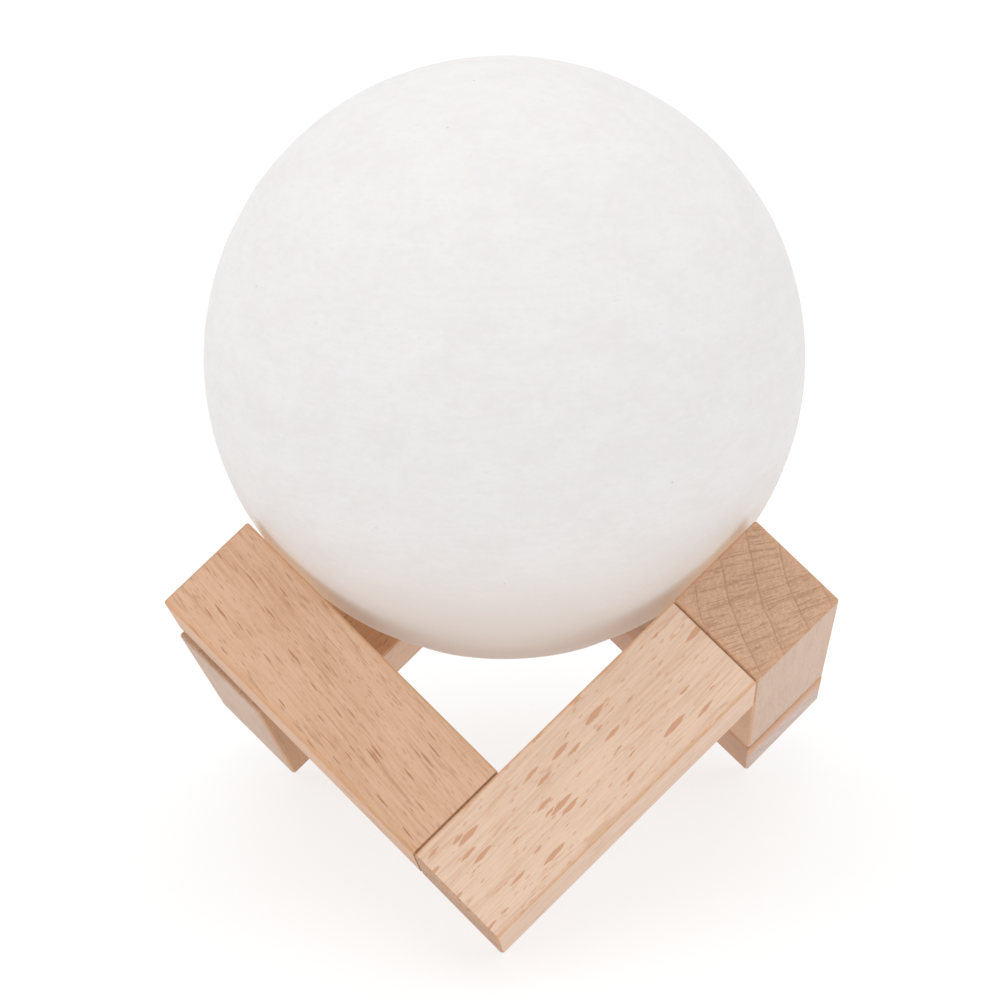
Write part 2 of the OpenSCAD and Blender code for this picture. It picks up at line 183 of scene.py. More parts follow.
class Finish:
    """One material: its shader, and the nodes that vary it over a piece.

    Constants are set on the shader's own sockets, and each is named for its socket, as in
    specular_ior_level. Only what varies is fed by nodes. Where a fed socket has a constant too,
    that is about its mean, for programs that read no nodes.
    """

    def __init__(self, name, **constants):
        self.material = bpy.data.materials.new(name)
        self.material.use_nodes = True
        self.tree = self.material.node_tree
        self.shader = self.tree.nodes["Principled BSDF"]
        for words, value in constants.items():
            socket = words.replace("_", " ").title().replace("Ior", "IOR")
            self.shader.inputs[socket].default_value = value

    def node(self, kind, settings, inputs=(), output=0):
        """Add a node: its settings first, then the values or links of its sockets."""
        made = self.tree.nodes.new("ShaderNode" + kind)
        for name, value in settings.items():
            setattr(made, name, value)
        pairs = inputs.items() if isinstance(inputs, dict) else enumerate(inputs)
        for socket, value in pairs:
            if isinstance(value, Field):
                self.tree.links.new(value.socket, made.inputs[socket])
            else:
                made.inputs[socket].default_value = value
        return Field(self, made.outputs[output])

    def feed(self, socket, field):
        """Let a field set one of the shader's sockets."""
        self.tree.links.new(field.socket, self.shader.inputs[socket])

    def place(self, at=(0.0, 0.0, 0.0), turned=(0.0, 0.0, 0.0)):
        """Where a point lies in millimetres, seen from a centre and axes of the piece's own."""
        spot = self.node("TexCoord", {}, output="Object")
        millimetre = (0.001, 0.001, 0.001)
        return self.node("Mapping", {"vector_type": "TEXTURE"}, (spot, at, turned, millimetre))

    def facing(self, direction, turned):
        """How squarely the surface faces a direction of a turned piece: 1 right at it, -1 away."""
        aim = Vector(direction)
        aim.rotate(turned)
        return self.node("TexCoord", {}, output="Normal").dot(aim)

    def join(self, x, y, z):
        """A vector of three values."""
        return self.node("CombineXYZ", {}, (x, y, z))

    def noise(self, where, scale=1.0, detail=2.0, roughness=0.5):
        """Cloudy noise from 0 to 1, about 0.5 on average."""
        return self.node(
            "TexNoise", {"noise_dimensions": "3D"},
            {"Vector": where, "Scale": scale, "Detail": detail, "Roughness": roughness},
        )

    def cells(self, where, scale=1.0, randomness=1.0, output="Distance", power=2.0):
        """The distance to the nearest of a set of scattered points: the steps along the three
        axes, each raised to a power, summed, and the root taken. Under 2, the cells are pointed.
        Its output "Color" is three random numbers that belong to that point.
        """
        return self.node(
            "TexVoronoi", {"feature": "F1", "distance": "MINKOWSKI"},
            {"Vector": where, "Scale": scale, "Randomness": randomness, "Exponent": power},
            output=output,
        )

    def relief(self, height, depth_m, strength=1.0):
        """Bump the surface by a height field: a step of 1 in it is depth_m, in metres."""
        bump = self.node(
            "Bump", {}, {"Strength": strength, "Distance": depth_m, "Height": height},
            output="Normal",
        )
        self.feed("Normal", bump)

    def on(self, *names):
        """Put this finish on CAD nodes or pieces."""
        for name in names:
            data = (nodes[name] if isinstance(name, str) else name).data
            data.materials.clear()
            data.materials.append(self.material)


# The bars lie along six edges of a cube, whose half side is HALF_SIDE. NEXT_PLACE takes each bar
# to the place of the next one. The rear three were glued up apart and sit slightly turned and
# shifted, and FOOT_FLAT is sanded off each of the three corners that the ring stands on.
BAR_WIDTH = 0.015
BAR_LENGTH = 0.0465
HALF_SIDE = (BAR_LENGTH + BAR_WIDTH) / 2
NEXT_PLACE = np.array([[0, 0, 1], [1, 0, 0], [0, -1, 0]], float)
REAR_TURN = math.radians(0.5)
REAR_SHIFT = np.array([0.0005, -0.0005, 0.0])
FOOT_FLAT = 0.00045


def ring_to_world():
    """The ring's cube stood on its three low corners.

    Up is square to the plane through the three corners, right runs from the left corner to
    the right one, and the plane lies on the table.
    """
    c, s = math.cos(REAR_TURN), math.sin(REAR_TURN)
    turn = np.array([[c, -s, 0], [s, c, 0], [0, 0, 1]])
    h, w = HALF_SIDE, BAR_WIDTH
    front = np.array([h, -h, h - w])
    rear_right = turn @ np.array([h, h - w, -h]) + REAR_SHIFT
    rear_left = turn @ np.array([w - h, -h, -h]) + REAR_SHIFT
    up = np.cross(rear_right - front, rear_left - front)
    up /= np.linalg.norm(up)
    across = (rear_right - rear_left) / np.linalg.norm(rear_right - rear_left)
    rows = np.array([across, np.cross(up, across), up])
    return rows, np.array([0, 0, -front @ up - FOOT_FLAT]), turn


def bar_frame(i):
    """The middle of bar i and its axes: x along the grain to the glued end, y and z across it."""
    rows, lift, turn = ring_to_world()
    h, w = HALF_SIDE, BAR_WIDTH
    step = np.linalg.matrix_power(NEXT_PLACE, i)
    middle = step @ np.array([-w / 2, w / 2 - h, h - w / 2])
    along, across = step @ np.array([1, 0, 0]), step @ np.array([0, 1, 0])
    axes = np.array([along, across, np.cross(along, across)])
    if i > 2:
        middle, axes = turn @ middle + REAR_SHIFT, axes @ turn.T
    middle, axes = rows @ middle + lift, axes @ rows.T
    return Vector(middle), Matrix(axes).transposed().to_euler()


# Sizes in mm: the rings' spacing, a ray's length along the grain, thickness and depth from the
# bark inwards, and the width of a band along an edge. Colours: painted shade in the narrow gap of
# a butt joint, handled edges.
RING_SPACING = 3.9
BROAD_RAY = (5.5, 0.45, 12.0)
FINE_RAY = (2.6, 0.26, 5.0)
BAND_WIDTH = 4.0
JOINT_GAP_SHADE = (0.15, 0.060, 0.024)
HANDLED = (0.64, 0.345, 0.175)


def shade(colour, red, green, blue):
    """A colour with its red, green and blue each multiplied by a share."""
    return colour[0] * red, colour[1] * green, colour[2] * blue


def beech(i, pith, slant, light, dark, ray_colour, ray_size, end_colour, seed,
          gap_shade_width=0.34, shaded_side=None, band=None):
    """Beech, cut from the log so that the pith lies at the given place across the bar, in mm.

    Growth rings are bands of the distance from the pith. The rays are thin sheets that run out
    from the pith: cells stretched along the grain and along the radius. So they show as fine
    dashes on a face that follows the rings, as wider flecks on a face that cuts them at a slant,
    and as hairlines on an end. gap_shade_width is the width of a dark hairline painted at the
    butted end as the shade in the joint's narrow gap, shaded_side the direction and colour of one
    face painted darker and redder as painted shade, where it lies in shade and takes warm light
    from the wood round it, and band the colour of a band along one edge of the end.
    """
    finish = Finish(f"beech_{i}", roughness=0.55, specular_ior_level=0.35)
    middle, turned = bar_frame(i)
    spot = finish.place(middle, turned)
    x, y, z = (spot.part(axis) for axis in "XYZ")
    sway = finish.noise(spot.stretched((0.03, 0.13, 0.13)).moved((seed, 0, 0)))
    jitter = finish.noise(spot.stretched((0.9, 1.6, 1.6))) - 0.5
    dy, dz = y - pith[0], z - pith[1]
    radius = (dy * dy + dz * dz).root() + sway * 1.6
    bow = dy.angle(dz) * math.hypot(*pith) + x * slant + sway * 0.6

    def fibre(along, across, detail, roughness, shift=0.0):
        """Noise drawn out along the grain, from 0 to 1."""
        place = finish.join(x * along + shift, bow * across, z * across + y * across * 0.3)
        return finish.noise(place, 1.0, detail, roughness)

    # Growth rings: each darkens slowly outwards and ends in a thin line, some stronger.
    ring = radius / RING_SPACING
    phase = ring.fraction()
    weaker = (ring * 2.7 + 0.3).fraction()
    late = phase ** 3.0
    ring_line = phase.step(0.93, 0.975) * phase.step(1.0, 0.99)
    ring_line = ring_line.most(weaker.step(0.86, 0.95) * weaker.step(1.0, 0.97) * 0.4)

    # Rays: broad ones whose size varies, and fine ones.
    ray_place = finish.join(x, bow + jitter * 0.14, radius).moved((seed, seed * 2, seed * 3))
    broad = finish.cells(ray_place.stretched(1 / size for size in BROAD_RAY), power=1.5)
    own_size = broad.also("Color").part("X")
    broad = (ray_size * (0.25 + own_size * 0.95) + jitter * 0.10 - broad).step(0.0, 0.06)
    fine_place = ray_place.stretched(1 / size for size in FINE_RAY).moved((7.3, 1.1, 0))
    fine = (0.26 + jitter * 0.16 - finish.cells(fine_place, power=1.3)).step(0.0, 0.09)

    # Grain: soft streaks, short pores, and broken hairlines where a drawn-out noise crosses 0.5.
    hair = fibre(0.115, 3.1, 3.0, 0.62)
    pore = fibre(0.55, 7.0, 2.0, 0.7)
    crossing = fibre(0.05, 0.75, 2.0, 0.55, seed)
    unbroken = fibre(0.16, 0.9, 1.0, 0.5, 5.0).step(0.42, 0.60)
    hairline = abs(crossing - 0.5).step(0.030, 0.006) * unbroken
    cloud = finish.noise(spot.stretched((0.05, 0.12, 0.12)).moved((seed, seed, 0)), detail=1.0)
    grit = finish.noise(spot, 2.4, 3.0, 0.8)

    # The long faces: streaked between light and dark, with the rays and hairlines over that.
    along_grain = (1, 0, 0)
    squareness = abs(finish.facing(along_grain, turned))
    end = squareness.step(0.55, 0.75)
    tone = hair * 0.62 + cloud * 0.30 + pore * 0.30 + grit * 0.22 - late * 0.10 - 0.13
    streaks = tone.step(0.34, 0.70)
    body = streaks.between(dark, light)
    # Painted shade: one chosen face of the bar is painted darker and redder, for a side that lies
    # in shade and takes warm light from the wood round it.
    if shaded_side:
        direction, red = shaded_side
        side_shade = finish.facing(direction, turned).step(0.6, 0.9) * 0.95
        body = side_shade.between(body, streaks.between(shade(red, 0.8, 0.8, 0.8), red))
    flecks = (broad * 0.90).most(fine * 0.58).most(hairline * 0.45) * (1.0 - end)
    body = flecks.between(body, ray_colour)

    # The ends: cut across the grain, the wood drinks the oil and turns darker. Growth rings and
    # rays show as lines.
    end_tone = (grit * 1.25 + cloud * 0.3 - late * 0.12 - 0.22).step(0.22, 0.88)
    body = end.between(body, end_tone.between(shade(end_colour, 0.76, 0.71, 0.66), end_colour))
    thread = finish.noise(finish.join(x * 0.4, bow * 1.7, radius * 0.08), roughness=0.6)
    thread = abs(thread - 0.5).step(0.045, 0.010) * jitter.step(-0.20, -0.02)
    end_lines = (ring_line * (0.7 + jitter * 1.6)).most(thread * 0.75) * end
    body = (end_lines * 0.72).between(body, shade(end_colour, 0.50, 0.40, 0.32))

    # Painted shade: a dark hairline at the butted end stands in for the shade in the joint's narrow
    # gap. Handling has toned the arrises.
    half_length, half_width = BAR_LENGTH * 500, BAR_WIDTH * 500
    if gap_shade_width:
        at_butt_end = x.step(half_length - gap_shade_width, half_length - gap_shade_width * 0.5)
        seam = at_butt_end * squareness.step(0.96, 0.88)
        body = (seam * 0.90).between(body, JOINT_GAP_SHADE)
    if band:
        inner_edge = half_width - BAND_WIDTH
        banded = (z + jitter * 0.8).step(inner_edge - 0.4, inner_edge + 0.4) * end
        speckled = pore.step(0.42, 0.30).between(band, shade(band, 0.55, 0.55, 0.55))
        body = (banded * 0.9).between(body, speckled)
    rim = abs(y).most(abs(z)).step(half_width - 1.3, half_width - 0.1)
    by_side, by_top = (abs(across).step(half_width - 0.7, half_width - 0.1) for across in (y, z))
    worn = (by_side * by_top * 0.75).most(end * rim * 0.40) * (0.45 + jitter * 1.6 + cloud * 0.6)
    body = worn.between(body, HANDLED)
    finish.feed("Base Color", body)
    finish.feed("Roughness", 0.60 - flecks * 0.12 - late * 0.05 + end * 0.14)
    height = pore * 0.4 + hair * 0.5 - ring_line * end * 0.5 - flecks * 0.25 + grit * end * 0.8
    finish.relief(height, 0.00006, 0.5)
    return finish


PALE_END = (0.600, 0.385, 0.265)
beech(0, pith=(12.0, -95.0), slant=0.09, light=(0.690, 0.437, 0.292), dark=(0.578, 0.334, 0.204),
      ray_colour=(0.400, 0.185, 0.092), ray_size=0.25, end_colour=PALE_END,
      seed=11.3).on("front_left_bar")
beech(1, pith=(36.0, -84.0), slant=-0.03, light=(0.764, 0.554, 0.418), dark=(0.667, 0.447, 0.317),
      ray_colour=(0.575, 0.300, 0.175), ray_size=0.36, end_colour=PALE_END,
      seed=4.7, gap_shade_width=0.30).on("front_right_bar")
# Bars 2 to 5 each have one face painted darker and redder as painted shade.
beech(2, pith=(-23.0, 45.0), slant=0.02, light=(0.640, 0.454, 0.349), dark=(0.566, 0.382, 0.283),
      ray_colour=(0.510, 0.297, 0.189), ray_size=0.16, end_colour=(0.655, 0.420, 0.285),
      seed=23.9, shaded_side=((0, 0, -1), (0.630, 0.367, 0.218))).on("right_bar")
beech(3, pith=(-60.0, 40.0), slant=0.05, light=(0.660, 0.450, 0.320), dark=(0.520, 0.320, 0.205),
      ray_colour=(0.330, 0.155, 0.080), ray_size=0.24, end_colour=(0.735, 0.600, 0.545),
      seed=31.1, shaded_side=((0, 1, 0), (0.533, 0.290, 0.175)),
      band=(0.660, 0.380, 0.235)).on("rear_right_bar")
beech(4, pith=(30.0, 72.0), slant=0.05, light=(0.690, 0.455, 0.315), dark=(0.578, 0.350, 0.222),
      ray_colour=(0.440, 0.215, 0.110), ray_size=0.26, end_colour=(0.620, 0.400, 0.275),
      seed=47.7, shaded_side=((0, 1, 0), (0.640, 0.330, 0.160))).on("rear_left_bar")
beech(5, pith=(75.0, -25.0), slant=0.05, light=(0.580, 0.422, 0.325), dark=(0.500, 0.331, 0.233),
      ray_colour=(0.465, 0.272, 0.167), ray_size=0.20, end_colour=(0.600, 0.435, 0.335),
      seed=59.3, gap_shade_width=None, shaded_side=((0, 1, 0), (0.505, 0.258, 0.118))).on("left_bar")


# ---- Dowels ----
# Raw hardwood dowels with eased ends. One is glued into each of the six joints, out of sight.
dowel_wood = Finish("dowel_wood", roughness=0.7)
spot = dowel_wood.place()
fibre = dowel_wood.noise(spot, 1.4, 4.0, 0.65)
speck = dowel_wood.cells(spot, 1.8).step(0.25, 0.1)
streaks = fibre.step(0.3, 0.7).between((0.50, 0.33, 0.20), (0.68, 0.49, 0.33))
dowel_wood.feed("Base Color", (speck * 0.5).between(streaks, (0.36, 0.20, 0.11)))
dowel_wood.relief(fibre, 0.00008, 0.6)
dowel_wood.on("dowels")


# ---- The moon ----
# A hollow ball printed upright from white translucent plastic in fine layers, with shallow
# craters and plains pressed into its outside. Its cut bottom is recessed for the lamp's base,
# and a thick collar stands round the mouth inside.

def grid_mesh(name, points):
    """A closed skin over a grid of points: rows down, columns around, the last column joined
    to the first. A fan of triangles to the middle of its points closes each end row.
    """
    rows, columns = points.shape[:2]
    verts = points.reshape(-1, 3)
    row, column = np.meshgrid(np.arange(rows - 1), np.arange(columns), indexing="ij")
    a = row * columns + column
    b = row * columns + (column + 1) % columns
    quads = np.stack([a, a + columns, b + columns, b], axis=-1).reshape(-1, 4)
    faces = quads.tolist()
    first = np.arange(columns)
    last = first + (rows - 1) * columns
    for row_index, near, far in ((0, first, np.roll(first, -1)), (-1, np.roll(last, -1), last)):
        tip = np.full(columns, len(verts))
        verts = np.vstack([verts, points[row_index].mean(axis=0)])
        faces += np.stack([near, far, tip], axis=-1).tolist()
    mesh = bpy.data.meshes.new(name)
    mesh.from_pydata(verts.tolist(), [], faces)
    mesh.polygons.foreach_set("use_smooth", np.ones(len(mesh.polygons), bool))
    mesh.update()
    piece = bpy.data.objects.new(name, mesh)
    bpy.context.scene.collection.objects.link(piece)
    return piece


def lattice_noise(points, seed):
    """Smooth noise from -1 to 1: scattered values on the corners of unit cubes, blended by
    t * t * (3 - 2 t) along each axis. A corner's value comes from its three whole numbers and the
    seed: each is multiplied by a large number, and the bits of the products are mixed.
    """
    base = np.floor(points).astype(np.int64)
    t = points - base
    t = t * t * (3 - 2 * t)
    total = np.zeros(points.shape[:-1])
    for corner in np.ndindex(2, 2, 2):
        at = base + np.array(corner)
        products = at * np.array([73856093, 19349663, 83492791])
        mix = np.bitwise_xor.reduce(products, axis=-1) ^ seed * 2654435
        mix = (mix ^ (mix >> 13)) * 1274126177 & 0x7FFFFFFF
        mix = (mix ^ (mix >> 16)) * 1911520717 & 0x7FFFFFFF
        weight = np.prod(np.where(np.array(corner) == 1, t, 1 - t), axis=-1)
        total += weight * (mix / 0x3FFFFFFF - 1)
    return total


def crater_depth(directions, count, least, most, seed):
    """How deep shallow craters of many sizes, as angles from least to most, press in.

    With u as the angle from a crater's middle over its size, it adds its size times
    1 - u * u inside, less a low rim: 0.45 times a bell curve about u = 1.08.
    """
    rng = np.random.default_rng(seed)
    centres = rng.normal(size=(count, 3))
    centres /= np.linalg.norm(centres, axis=1, keepdims=True)
    sizes = least * (most / least) ** (rng.random(count) ** 2.2)
    depth = np.zeros(directions.shape[:-1])
    for centre, size in zip(centres, sizes):
        u = np.arccos(np.clip(directions @ centre, -1, 1)) / size
        bowl = np.where(u < 1, 1 - u * u, 0)
        rim = np.exp(-((u - 1.08) / 0.22) ** 2)
        depth += size * (bowl - 0.45 * rim)
    return depth


moon_low, moon_high = (np.array(corner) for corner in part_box("moon_shell"))
MOON_RADIUS = (moon_high[0] - moon_low[0]) / 2
MOON_CENTRE = np.array([*(moon_low[:2] + moon_high[:2]) / 2, moon_high[2] - MOON_RADIUS])
MOON_BOTTOM = moon_low[2]
MOON_WALL = 0.0014
RECESS_RADIUS, RECESS_TOP = 0.0158, MOON_BOTTOM + 0.0034
MOUTH_RADIUS, MOUTH_TOP = 0.0126, RECESS_TOP + 0.005
COLLAR_RADIUS = 0.0172
DEEPEST_PRESS = 0.00036
BOTTOM_EDGE = 0.05
TIP = 0.004
COLUMNS, ROWS, INSIDE_ROWS = 336, 250, 28

# The outside: angles from the top, all but a small TIP, down to the cut bottom. What is pressed in
# fades out over BOTTOM_EDGE, so that the rim of the cut is round. Angles are in radians.
cut_radius = math.sqrt(MOON_RADIUS ** 2 - (MOON_BOTTOM - MOON_CENTRE[2]) ** 2)
polar = np.linspace(TIP, math.pi - math.asin(cut_radius / MOON_RADIUS), ROWS)
around = np.arange(COLUMNS) * 2 * math.pi / COLUMNS
polar_grid, around_grid = np.meshgrid(polar, around, indexing="ij")
outward = np.stack([np.sin(polar_grid) * np.cos(around_grid),
                    np.sin(polar_grid) * np.sin(around_grid), np.cos(polar_grid)], axis=-1)
plains = lattice_noise(outward * 2.1 + 5, seed=3) + 0.5 * lattice_noise(outward * 4.5 + 9, seed=8)
rough_land = sum(
    0.5 ** k * lattice_noise(outward * 9 * 2 ** k + 30, seed=20 + k) for k in range(4)
)
craters = crater_depth(outward, count=420, least=0.018, most=0.12, seed=7)
press = 0.00005 * (plains + 1.5) + 0.00003 * (rough_land + 2) + 0.0009 * craters
press = np.clip(press, 0, DEEPEST_PRESS)
press *= np.clip((polar[-1] - polar_grid) / BOTTOM_EDGE, 0, 1)
outside = MOON_CENTRE + outward * (MOON_RADIUS - press)[..., None]


def ring_of(radius, height):
    """One row of the skin: a level circle about the moon's upright axis."""
    return np.stack([MOON_CENTRE[0] + radius * np.cos(around),
                     MOON_CENTRE[1] + radius * np.sin(around),
                     np.full(COLUMNS, height)], axis=-1)


# The bottom and the inside: a profile of radius and height from the rim of the cut through the
# recess and the mouth, over the collar, and up the inner wall, turned about the upright axis.
inner_radius = MOON_RADIUS - MOON_WALL
inside_polar = np.linspace(math.pi - math.asin(COLLAR_RADIUS / inner_radius), TIP, INSIDE_ROWS)
inside = [(inner_radius * math.sin(angle), MOON_CENTRE[2] + inner_radius * math.cos(angle))
          for angle in inside_polar]
ease = 0.00015
mouth = [(cut_radius - ease, MOON_BOTTOM), (RECESS_RADIUS + ease, MOON_BOTTOM),
         (RECESS_RADIUS, MOON_BOTTOM + ease), (RECESS_RADIUS, RECESS_TOP - ease),
         (RECESS_RADIUS - ease, RECESS_TOP), (MOUTH_RADIUS + ease, RECESS_TOP),
         (MOUTH_RADIUS, RECESS_TOP + ease), (MOUTH_RADIUS, MOUTH_TOP - ease),
         (MOUTH_RADIUS + ease, MOUTH_TOP), (COLLAR_RADIUS - ease, MOUTH_TOP),
         (COLLAR_RADIUS, MOUTH_TOP - ease)]
turned_rows = np.array([ring_of(radius, height) for radius, height in mouth + inside])
moon = grid_mesh("moon_skin", np.concatenate([outside, turned_rows]))
moon.data.set_sharp_from_angle(angle=math.radians(40))
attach(moon, "moon")
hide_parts("moon_shell")

moon_print = Finish("moon_print", roughness=0.62, specular_ior_level=0.30, subsurface_weight=0.25,
                    subsurface_scale=0.004, emission_strength=1.0)
moon_print.shader.inputs["Subsurface Radius"].default_value = (1.0, 0.80, 0.62)
spot = moon_print.place(MOON_CENTRE)
layers = moon_print.noise(spot.stretched((0.07, 0.07, 6.0)), 1.0, 3.0, 0.7)
wide_layers = moon_print.noise(spot.stretched((0.05, 0.05, 1.5)).moved((9, 4, 0)), roughness=0.6)
mottle = moon_print.noise(spot.stretched((0.13, 0.13, 0.20)), 1.0, 4.0, 0.6)
fine_mottle = moon_print.noise(spot.stretched((0.7, 0.7, 1.3)).moved((3, 8, 5)), 1.0, 3.0, 0.65)
dots = moon_print.cells(spot, 0.16).step(0.030, 0.018)
thick = mottle * 0.50 + fine_mottle * 0.38 + wide_layers * 0.12
tone = (thick * 0.92 + layers * 0.08).step(0.36, 0.66).between(
    (0.785, 0.760, 0.751), (0.830, 0.812, 0.809))
rough_ground = mottle.step(0.50, 0.62)
tone = (fine_mottle.step(0.56, 0.74) * rough_ground * 0.40).between(tone, (0.70, 0.67, 0.645))
tone = (dots * 0.5).between(tone, (0.48, 0.44, 0.40))

# Painted light: a warm glow painted into the emission colour of the lower wall stands in for
# daylight that comes in through the rest of the ball and leaves there, and the base colour is
# darker and greyer towards the bottom beneath it. Heights are in mm from the moon's middle.
height = spot.part("Z")
lower = height.step(-12.0, -32.0)
tone = lower.between(tone, (0.53, 0.53, 0.52))
glow = lower.between((0.012, 0.010, 0.008), (0.245, 0.195, 0.165))
glow = height.step(-30.0, -37.0).between(glow, (0.165, 0.105, 0.070))

# Painted light: a warm glow painted into the emission colour round each of the moon's three
# seats lifts the shade where it lies on the bars. There the base colour is darker and bluer, so
# that the wall isn't brighter than the rest when the moon is lifted.
SEATS = ((-28.5, -15.9, -23.1), (28.0, -16.2, -23.5), (0.0, 32.9, -22.8))
SEAT_GLOW_REACH = 14.0
for seat in SEATS:
    near = moon_print.node("VectorMath", {"operation": "DISTANCE"}, (spot, seat), output="Value")
    near = near.step(SEAT_GLOW_REACH, 2.0)
    tone = near.between(tone, (0.28, 0.42, 0.50))
    glow = near.between(glow, (0.49, 0.32, 0.220))
moon_print.feed("Base Color", tone)
moon_print.feed("Emission Color", glow)
moon_print.feed("Roughness", 0.56 + layers * 0.14)
moon_print.relief(layers * 0.4 + wide_layers * 0.2 + fine_mottle * 0.6 - dots * 0.4, 0.00008, 0.6)
moon_print.on(moon)


# ---- Core holder ----
# An injection-moulded white tube with a flange. It goes into the moon's mouth and carries the
# cell, both boards and the lights; its flange is screwed up against the moon.
core_white = Finish("core_white", roughness=0.45)
spot = core_white.place()
texture = core_white.noise(spot, 6.0, 3.0, 0.7)
flow = core_white.noise(spot.stretched((0.12, 0.12, 0.05)), 1.0, 3.0).step(0.3, 0.75)
core_white.feed("Base Color", flow.between((0.80, 0.79, 0.76), (0.87, 0.865, 0.85)))
core_white.feed("Roughness", 0.38 + texture * 0.18)
core_white.relief(texture, 0.00002, 0.4)
core_white.on("core_holder")


# ---- Screws ----
# Small zinc-plated screws: three through the flange, two in the cover, four in the boards.
zinc = Finish("zinc", metallic=1.0, roughness=0.32)
spot = zinc.place()
crystals = zinc.cells(spot, 5.0, output="Color")
haze = zinc.noise(spot, 2.5, 4.0, 0.6)
zinc.feed("Base Color", haze.step(0.3, 0.7).between((0.50, 0.50, 0.52), (0.70, 0.70, 0.71)))
zinc.feed("Roughness", 0.24 + haze * 0.22)
zinc.relief(crystals, 0.00001, 0.3)
zinc.on("flange_screws", "cover_screws", "board_screws", "light_screws")


# ---- Trim ring ----
# A ring of polished steel round the base, pressed up against the flange. Fine turning lines
# run round it, with the light scratches of being set down.
BASE_CENTRE = (*MOON_CENTRE[:2].tolist(), float(MOON_BOTTOM))
polished = Finish("polished_steel", metallic=1.0, roughness=0.14)
spot = polished.place(BASE_CENTRE)
x, y, z = (spot.part(axis) for axis in "XYZ")
from_axis = (x * x + y * y).root()
turning = polished.noise(polished.join(from_axis * 9.0, z * 9.0, 0.0), 1.0, 3.0, 0.7)
scratch = polished.noise(spot.stretched((0.9, 7.0, 1.0))).step(0.66, 0.72)
smear = polished.noise(spot, 0.25, 2.0)
polished.feed("Base Color", smear.step(0.3, 0.7).between((0.66, 0.67, 0.69), (0.78, 0.78, 0.79)))
polished.feed("Roughness", 0.10 + turning * 0.08 + scratch * 0.16 + smear * 0.06)
polished.relief(turning * 0.5 - scratch * 0.4, 0.00001, 0.3)
polished.on("trim_ring")


# ---- Cover plate ----
# A moulded satin white disc with a fine spark-eroded texture, held by two screws.
cover = Finish("cover_satin", roughness=0.5)
spot = cover.place(BASE_CENTRE)
spark = cover.noise(spot, 9.0, 3.0, 0.75)
dust = cover.noise(spot, 0.7, 4.0, 0.6).step(0.58, 0.78)
cover.feed("Base Color", (dust * 0.35).between((0.855, 0.85, 0.83), (0.70, 0.67, 0.62)))
cover.feed("Roughness", 0.42 + spark * 0.2)
cover.relief(spark, 0.00003, 0.5)
cover.on("cover_plate")


# ---- Power button ----
# A gloss-moulded white cap over the switch.
gloss = Finish("button_gloss", roughness=0.16, coat_weight=0.4)
spot = gloss.place(BASE_CENTRE)
touch = gloss.noise(spot, 0.6, 3.0, 0.6)
rub = gloss.noise(spot.stretched((5.0, 0.8, 1.0))).step(0.62, 0.72)
gloss.feed("Base Color", touch.step(0.3, 0.8).between((0.86, 0.86, 0.865), (0.80, 0.795, 0.785)))
gloss.feed("Roughness", 0.12 + touch * 0.10 + rub * 0.08)
gloss.relief(touch - rub * 0.3, 0.00001, 0.25)
gloss.on("power_button")


# ---- Switch, chips and socket tongue ----
# Black moulded plastic, with the fine matte texture that the moulds leave.
black = Finish("black_moulding", roughness=0.5)
spot = black.place()
grain = black.noise(spot, 8.0, 3.0, 0.7)
dull = grain.step(0.35, 0.7)
black.feed("Base Color", dull.between((0.018, 0.018, 0.020), (0.040, 0.040, 0.043)))
black.feed("Roughness", 0.42 + grain * 0.22)
black.relief(grain, 0.00002, 0.5)
black.on("board_parts", "switch_body", "switch_plunger", "socket_tongue")


# ---- Charging socket ----
# A folded and plated steel shell round a small standard charging socket.
plated = Finish("plated_sheet", metallic=1.0, roughness=0.28)
spot = plated.place()
rolled = plated.noise(spot.stretched((0.8, 0.8, 8.0)), 1.0, 3.0, 0.6)
worn = plated.noise(spot, 1.5, 3.0).step(0.6, 0.75)
plated.feed("Base Color", (worn * 0.4).between((0.68, 0.68, 0.70), (0.45, 0.43, 0.40)))
plated.feed("Roughness", 0.22 + rolled * 0.16 + worn * 0.12)
plated.relief(rolled, 0.00001, 0.4)
plated.on("charging_socket")


# ---- Circuit boards ----
# The main board is green glass-fibre board, its copper tracks showing under the lacquer. The
# light board is white on top, so that it throws the light outwards.
def circuit(name, lacquer, track, copper):
    """Lacquered board: tracks where the mean of sin(3.1 x) and of sin(1.3 y + 2 d) is high, with d
    as the distance to a scattered point, and pads round another set of points. The weave of the
    glass is sin(12 x) times sin(12 y).
    """
    finish = Finish(name, roughness=0.3)
    place = finish.place(BASE_CENTRE)
    x, y = place.part("X"), place.part("Y")
    flat = place.stretched((1.0, 1.0, 0.0))
    bend = finish.cells(flat, 0.55, 0.35)
    tracks = ((x * 3.1).sin() * 0.5 + (y * 1.3 + bend * 2.0).sin() * 0.5).step(0.30, 0.38)
    pads = finish.cells(flat, 0.9, 0.6).step(0.22, 0.17)
    weave = (x * 12.0).sin() * (y * 12.0).sin()
    surface = (tracks * 0.8).between(lacquer, track)
    finish.feed("Base Color", pads.between(surface, copper))
    finish.feed("Metallic", pads * 0.9)
    finish.feed("Roughness", 0.26 + pads * 0.1 + weave * 0.03)
    finish.relief(tracks * 0.6 + pads * 0.4 + weave * 0.1, 0.00003, 0.5)
    return finish


circuit("main_board_green", lacquer=(0.012, 0.105, 0.045), track=(0.022, 0.17, 0.075),
        copper=(0.72, 0.60, 0.36)).on("main_board")
circuit("light_board_white", lacquer=(0.83, 0.83, 0.82), track=(0.74, 0.74, 0.73),
        copper=(0.72, 0.70, 0.66)).on("light_board")


